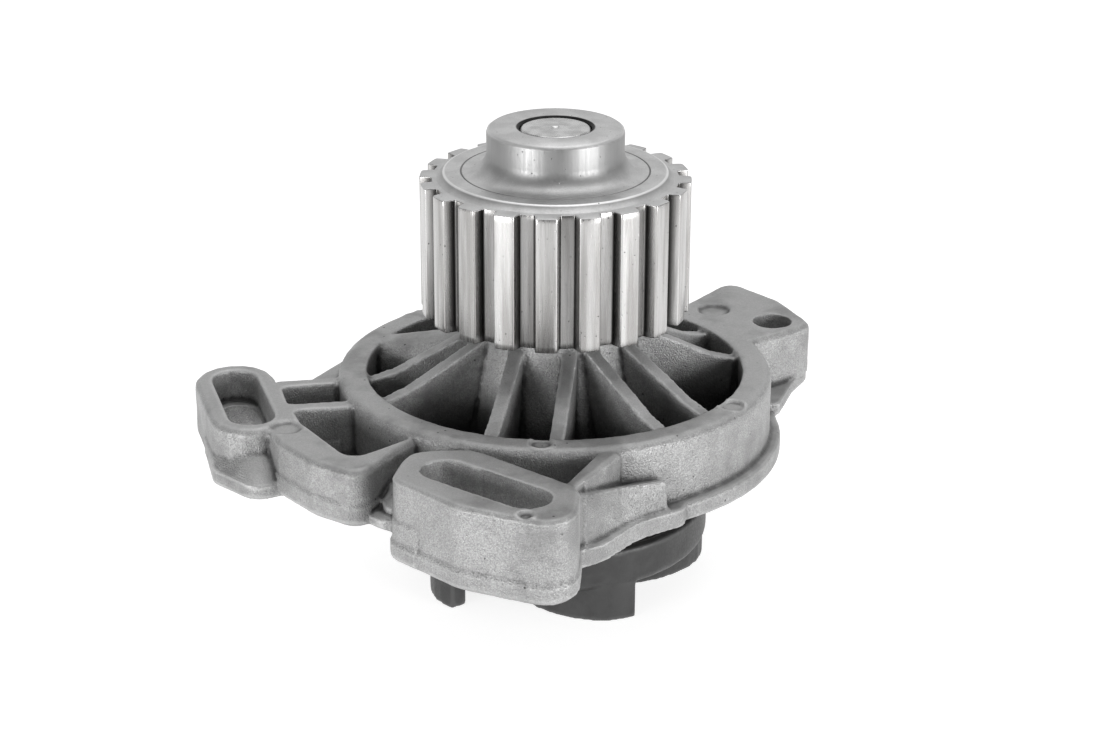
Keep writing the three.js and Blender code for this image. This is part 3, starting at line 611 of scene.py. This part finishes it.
def housing_relief(points, normals):
    """How far the cast skin stands out, in millimetres: ejector marks, parting steps and uneven skin."""
    x, y, z = points.T
    on_top = smoothstep(0.75, 0.95, normals[:, 2]) * (np.abs(z - RIM_TOP) < 1.2)
    relief = np.zeros(len(points))
    for mark_x, mark_y, size in EJECTOR_MARKS:
        away = np.hypot(x - mark_x, y - mark_y)
        relief -= MARK_DEPTH * on_top * (1.0 - smoothstep(size - 0.5, size, away))
        relief += MARK_FLASH * on_top * np.exp(-((away - size - 0.35) / 0.4) ** 2)
    side = 1.0 - smoothstep(0.35, 0.7, np.abs(normals[:, 2]))
    arm = (x < -28.0) & (y < -20.0) & (np.hypot(x, y) > RIM_OUTER + 3.0)
    relief += ARM_STEP * side * arm * below(ARM_PARTING, z)
    front_ear = (y < -58.0) & (x < 6.5)
    relief += side * front_ear * (EAR_STEP * below(EAR_PARTING, z) - EAR_SETBACK)
    wave = np.sin(0.9 * x + 1.3) * np.sin(0.7 * y + 0.4) * np.sin(0.8 * z + 2.1)
    ripple = np.sin(2.3 * x + 0.5 * y) * np.sin(2.1 * y - 0.4 * z + 1.0) * np.sin(2.6 * z + 0.7 * x)
    return relief - 0.04 * (1.0 + wave) - 0.02 * (1.0 + ripple)


def cavity_depth(points):
    """How much painted shade the cavity gets: 1 deep between the ribs inside the rim, 0 outside it and at
    the rim's top.
    """
    x, y, z = points.T
    inside = 1.0 - smoothstep(RIM_INNER - 1.0, RIM_INNER + 0.6, np.hypot(x, y))
    return inside * (1.0 - smoothstep(5.0, 19.0, z)) * smoothstep(-1.0, 3.0, z)


def store_edge_sheen_and_shade(mesh, hollow):
    """Stores where the material is lighter along its edges, with painted highlight and wear, and where it
    is dark in creases and hollows, with painted shade.
    """
    bend = curvature(mesh, 4)
    bend /= np.percentile(np.abs(bend), 97.0)
    store(mesh, "edge", np.clip(bend, 0.0, 1.0))
    store(mesh, "hollow", np.clip(hollow + 0.85 * np.clip(-bend, 0.0, 1.0), 0.0, 1.0))


def housing_piece():
    bands = [
        (HOUSING_FACETS, RIM_INNER - 1.5, FLANGE_RADIUS + 1.0),
        (HOUSING_FACETS, *SPIGOT_BAND),
        (BOSS_FACETS, *BOSS_BAND),
    ]
    piece = cast_skin("housing_casting", "cast_housing", HOUSING_VOXEL, HOUSING_SMOOTHING, bands)
    mesh = piece.data
    points, normals = read_points(mesh), read_normals(mesh)
    write_points(mesh, points + normals * housing_relief(points, normals)[:, None])
    store_edge_sheen_and_shade(mesh, cavity_depth(read_points(mesh)))
    finish_shading(piece, 180.0)
    return stand_for(piece, "housing_casting", "cast_aluminium")


# ---------- impeller ----------
IMPELLER_VOXEL = 0.5
IMPELLER_SMOOTHING = 5


def impeller_piece():
    bands = [(BOSS_FACETS, *SKIRT_BAND), (BOSS_FACETS, *IMPELLER_HUB_BAND)]
    piece = cast_skin("impeller", "moulded_impeller", IMPELLER_VOXEL, IMPELLER_SMOOTHING, bands)
    store_edge_sheen_and_shade(piece.data, np.zeros(len(piece.data.vertices)))
    finish_shading(piece, 180.0)
    return stand_for(piece, "impeller", "impeller_plastic")


# ---------- sprocket ----------
def tooth_outline():
    """Azimuths and radii all round the teeth, with rounded crown and root corners."""
    crown_half = HALF_PITCH - math.asin(GROOVE_TOP / 2 / CROWN_RADIUS)
    root_half = HALF_PITCH - math.asin(GROOVE_BOTTOM / 2 / ROOT_RADIUS)
    crown = [(CROWN_RADIUS, crown_half * part) for part in (-1, -1 / 3, 1 / 3, 1)]
    spots = [(ROOT_RADIUS, -root_half), *crown, (ROOT_RADIUS, root_half), (ROOT_RADIUS, HALF_PITCH)]
    corners = []
    for tooth in range(TEETH):
        middle = FIRST_TOOTH + 2 * HALF_PITCH * tooth
        corners.extend((r * math.cos(middle + a), r * math.sin(middle + a)) for r, a in spots)
    outline = with_round_corners(corners, 0.45, 4)
    return [(math.atan2(y, x), math.hypot(x, y)) for x, y in outline]


def tooth_rings(outline, levels=24):
    """Rings round the teeth from the bottom face to the top one, drawn in at both edges."""
    bottom, top, edge = SPROCKET_BOTTOM, SPROCKET_TOP, TOOTH_EDGE
    straight = top - bottom - 2 * edge
    steps = [(edge, bottom), (edge * 0.3, bottom + edge * 0.3), (0.0, bottom + edge)]
    steps += [(0.0, bottom + edge + straight * k / levels) for k in range(1, levels)]
    steps += [(0.0, top - edge), (edge * 0.3, top - edge * 0.3), (edge, top)]
    return [
        [((r - inset) * math.cos(a), (r - inset) * math.sin(a), height) for a, r in outline]
        for inset, height in steps
    ]


def hub_profile():
    """Radius and height from the teeth's top face over the web and hub, down the bore and back below."""
    bore = SHAFT_RADIUS + 0.1
    groove = FINE_GROOVE_RADIUS
    profile = [
        (26.2, SPROCKET_TOP), (26.1, SPROCKET_TOP + 0.02),
        (WEB_LIP_RADIUS + 0.3, WEB_LIP + 0.15 * (SPROCKET_TOP - WEB_LIP)), (WEB_LIP_RADIUS + 0.1, WEB_LIP),
        (WEB_LIP_RADIUS - 0.1, WEB_FACE - 0.03), (24.2, WEB_FACE),
        (groove + 0.27, WEB_FACE), (groove + 0.17, WEB_FACE - 0.01), (groove, WEB_FACE - 0.14),
        (groove - 0.16, WEB_FACE - 0.01), (groove - 0.28, WEB_FACE),
    ]
    for k in range(9):
        turn = math.radians(-92 - 84 * k / 8)
        radius = HUB_RADIUS + FLARE_RADIUS - 0.05 + FLARE_RADIUS * math.cos(turn)
        profile.append((radius, WEB_FACE + FLARE_RADIUS + FLARE_RADIUS * math.sin(turn)))
    return profile + [
        (HUB_RADIUS, HUB_TOP - 1.1), (HUB_RADIUS - 0.2, HUB_TOP - 0.5), (HUB_RADIUS - 0.9, HUB_TOP),
        (bore + 0.75, HUB_TOP), (bore + 0.45, HUB_TOP - 0.02), (bore, HUB_TOP - 0.5),
        (bore, HUB_BOTTOM), (HUB_RADIUS - 0.8, HUB_BOTTOM), (HUB_RADIUS, HUB_BOTTOM + 0.8),
        (HUB_RADIUS, 57.9), (HUB_RADIUS + 2.0, 59.4), (20.8, 59.5), (23.0, 57.4),
        (23.0, SPROCKET_BOTTOM + 1.0), (23.6, SPROCKET_BOTTOM),
    ]


def paint_sprocket(mesh):
    """Stores painted shade in the teeth's grooves, where the steel is turned, and its lines of painted
    shade and painted highlight.
    """
    x, y, z = read_points(mesh).T
    radius = np.hypot(x, y)
    from_tooth = np.arctan2(y, x) - FIRST_TOOTH + HALF_PITCH
    from_tooth = np.abs(np.mod(from_tooth, 2 * HALF_PITCH) - HALF_PITCH)
    low = 1.0 - smoothstep(ROOT_RADIUS + 0.3, CROWN_RADIUS - 0.4, radius)
    corner = 1.0 - smoothstep(math.radians(5.5), math.radians(6.5), from_tooth)
    on_teeth = (radius > ROOT_RADIUS - 0.6) & (z < SPROCKET_TOP - 0.5 * TOOTH_EDGE)
    # Painted shade on the groove floors, darkest in their corners.
    store(mesh, "hollow", low * (0.48 + 0.52 * corner) * on_teeth)
    store(mesh, "turned", np.where(on_teeth, 0.0, 1.0))
    line = (np.abs(radius - FINE_GROOVE_RADIUS) < 0.2) & (z > WEB_FACE - 0.2) & (z < WEB_FACE + 0.05)
    shaft_gap = (radius < SHAFT_RADIUS + 0.7) & (z > HUB_TOP - 0.7)
    outer_band = (radius > WEB_LIP_RADIUS + 0.25) & (radius < ROOT_RADIUS) & (z > WEB_FACE - 0.5)
    # Painted shade in the fine groove, the gap round the shaft and the web's outer band.
    store(mesh, "shade_line", 0.6 * line + 1.0 * shaft_gap + 0.3 * outer_band)
    web_edge = (np.abs(radius - WEB_LIP_RADIUS) < 0.15) & (z > WEB_FACE - 0.3)
    hub_edge = (radius > HUB_RADIUS - 0.6) & (radius < HUB_RADIUS + 0.01) & (z > HUB_TOP - 0.6)
    # Painted highlights along the web's lip and the hub's top edge.
    store(mesh, "highlight_line", 0.8 * web_edge + 0.5 * hub_edge)


def sprocket_piece():
    outline = tooth_outline()
    azimuths = [azimuth for azimuth, _ in outline]
    rings = tooth_rings(outline) + [circle_ring(r, z, azimuths) for r, z in hub_profile()]
    piece = mesh_object("toothed_sprocket", *ring_mesh(rings), 40.0)
    paint_sprocket(piece.data)
    return stand_for(piece, "timing_sprocket", "sintered_steel")


# ---------- everything that is turned ----------
TURNED = [
    ("shaft", "pump_shaft", "bearing_steel"),
    ("impeller_insert", "impeller_insert_ring", "bearing_steel"),
    ("bearing_outer_ring", "bearing_sleeve", "bearing_steel"),
    ("bearing_seal_pulley_side", "upper_lip_seal", "black_rubber"),
    ("bearing_seal_water_side", "lower_lip_seal", "black_rubber"),
    ("drain_slinger", "slinger_disc", "bearing_steel"),
    ("seal_cup", "face_seal_cup", "seal_metal"),
    ("seal_bellows", "face_seal_bellows", "black_rubber"),
    ("seal_carbon_ring", "carbon_face", "carbon"),
    ("seal_mating_ring", "mating_face", "ceramic"),
    ("mating_ring_seat", "mating_ring_boot", "black_rubber"),
]
KEPT_NODES = {"ball_cage": "cage_plastic", "roller_cage": "cage_plastic", "seal_spring": "bearing_steel"}


def paint_kept(node, slot):
    """Gives a CAD node that keeps its own shape a material, on the object and not on its mesh."""
    piece = frame["nodes"][node]
    if not piece.material_slots:
        piece.data.materials.append(None)
    for material_slot in piece.material_slots:
        material_slot.link = "OBJECT"
        material_slot.material = MATERIALS[slot]


housing_piece()
impeller_piece()
sprocket_piece()
for node, name, slot in TURNED:
    turned_piece(node, name, slot, SMALL_FACETS)
turned_piece("flange_seal_ring", "flange_o_ring", "black_rubber", BOSS_FACETS, 0.6)
for node in frame["nodes"]:
    if node in KEPT_NODES:
        paint_kept(node, KEPT_NODES[node])
    elif node.startswith(("bearing_ball", "bearing_roller")):
        paint_kept(node, "bearing_steel")


# ---------- stage, light and camera ----------
FLOOR = cad_low[2] / MM - 0.2
FLOOR_REACH = 4000.0
CAMERA_PLACE = (0.00002, -0.55013, 0.23894)
CAMERA_PITCH = 0.3826         # radians down from level
CAMERA_ROLL = 0.0036


def floor_piece():
    look = Look("pale_floor")
    look.surface.inputs["Emission Strength"].default_value = 0.82
    look.surface.inputs["Emission Color"].default_value = (1.0, 1.0, 1.0, 1.0)
    speck = look.noise(40.0, 3.0)
    material = look.finish(look.blend(speck, grey(0.42), grey(0.46)), 0.0, 0.7)
    corners = [(FLOOR_REACH * x, FLOOR_REACH * y, FLOOR) for x, y in ((-1, -1), (1, -1), (1, 1), (-1, 1))]
    floor = mesh_object("studio_floor", corners, [(0, 1, 2, 3)])
    floor.data.materials.append(material)


def area_light(name, place, target, size, power):
    lamp = bpy.data.lights.new(name, "AREA")
    lamp.shape = "RECTANGLE"
    lamp.size, lamp.size_y = size
    lamp.energy = power
    piece = bpy.data.objects.new(name, lamp)
    piece.location = place
    piece.rotation_euler = (Vector(target) - Vector(place)).to_track_quat("-Z", "Y").to_euler()
    bpy.context.scene.collection.objects.link(piece)


def studio_world():
    """Soft light from all round, brighter from behind the pump and darker from the camera's side."""
    world = bpy.data.worlds.new("soft_studio")
    bpy.context.scene.world = world
    world.use_nodes = True
    tree = world.node_tree
    coordinates = tree.nodes.new("ShaderNodeTexCoord")
    parts = tree.nodes.new("ShaderNodeSeparateXYZ")
    tree.links.new(coordinates.outputs["Generated"], parts.inputs["Vector"])
    ramp = tree.nodes.new("ShaderNodeValToRGB")
    horizon, low_sky, high_sky, zenith = 0.35, 0.62, 0.60, 0.45
    ramp.color_ramp.elements[0].color = (horizon, horizon, horizon, 1.0)
    ramp.color_ramp.elements[1].color = (zenith, zenith, zenith, 1.0)
    for position, value in ((0.30, low_sky), (0.55, high_sky)):
        ramp.color_ramp.elements.new(position).color = (value, value, value, 1.0)
    tree.links.new(parts.outputs["Z"], ramp.inputs["Fac"])
    colour = ramp.outputs["Color"]
    # For each side: where along Y it starts and is full, how much of it there is, and how bright it is.
    for starts, full, amount, bright in ((-0.35, -0.85, 0.6, 0.05), (0.3, 0.85, 1.0, 1.25)):
        side = tree.nodes.new("ShaderNodeMapRange")
        side.inputs["From Min"].default_value = starts
        side.inputs["From Max"].default_value = full
        side.inputs["To Max"].default_value = amount
        tree.links.new(parts.outputs["Y"], side.inputs["Value"])
        mix = tree.nodes.new("ShaderNodeMix")
        mix.data_type = "RGBA"
        mix.inputs["B"].default_value = (bright, bright, bright, 1.0)
        tree.links.new(side.outputs["Result"], mix.inputs["Factor"])
        tree.links.new(colour, mix.inputs["A"])
        colour = mix.outputs["Result"]
    tree.links.new(colour, tree.nodes["Background"].inputs["Color"])
    tree.nodes["Background"].inputs["Strength"].default_value = 0.60


def photo_camera():
    camera = bpy.data.objects.new("studio_camera", bpy.data.cameras.new("studio_camera"))
    camera.data.lens = 85.0
    camera.data.sensor_width = 36.0
    camera.data.clip_start = 0.02
    ahead = Vector((0.0001, math.cos(CAMERA_PITCH), -math.sin(CAMERA_PITCH)))
    right = Vector((1.0, 0.0, 0.0))
    up = right.cross(ahead)
    turned_right = math.cos(CAMERA_ROLL) * right + math.sin(CAMERA_ROLL) * up
    turned_up = math.cos(CAMERA_ROLL) * up - math.sin(CAMERA_ROLL) * right
    rotation = Matrix((turned_right, turned_up, -ahead)).transposed()
    camera.matrix_world = Matrix.Translation(CAMERA_PLACE) @ rotation.to_4x4()
    bpy.context.scene.collection.objects.link(camera)
    bpy.context.scene.camera = camera


floor_piece()
studio_world()
area_light("overhead_softbox", (0.1, 0.15, 0.9), (0.0, 0.0, 0.0), (0.9, 0.8), 3.0)
area_light("left_softbox", (-0.62, -0.62, 0.10), (0.0, 0.0, 0.0), (0.45, 0.30), 4.1)
area_light("right_softbox", (0.66, -0.50, 0.12), (0.0, 0.0, 0.0), (0.40, 0.30), 4.0)
photo_camera()
bpy.context.scene.view_settings.view_transform = "Standard"
